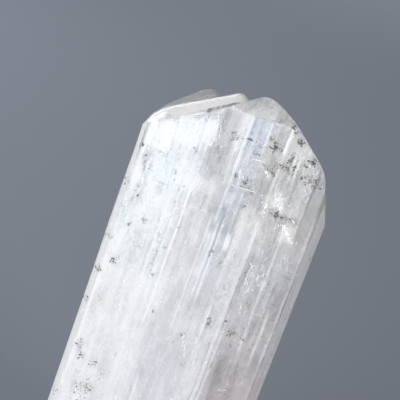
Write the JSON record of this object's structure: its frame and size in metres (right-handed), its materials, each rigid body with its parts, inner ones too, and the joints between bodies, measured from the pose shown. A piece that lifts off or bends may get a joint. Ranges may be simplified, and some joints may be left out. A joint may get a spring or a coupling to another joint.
{
  "type": "danburite crystal",
  "caption": "Flattened, lengthwise striated prism of milky to clear crystal with a stepped gable point and a flat cut base.",
  "frame": {"origin": "centre of the flat base that the crystal stands on", "axes": "+Z along the crystal from the base to the point, -Y out of the broad front face, +X to the right of that face as it is seen"},
  "size_m": [0.0253, 0.0159, 0.0619],
  "materials": {
    "danburite": "vitreous, milky to clear, with fine lengthwise growth lines"
  },
  "bodies": {
    "root": {"danburite_crystal": "danburite"}
  },
  "joints": []
}
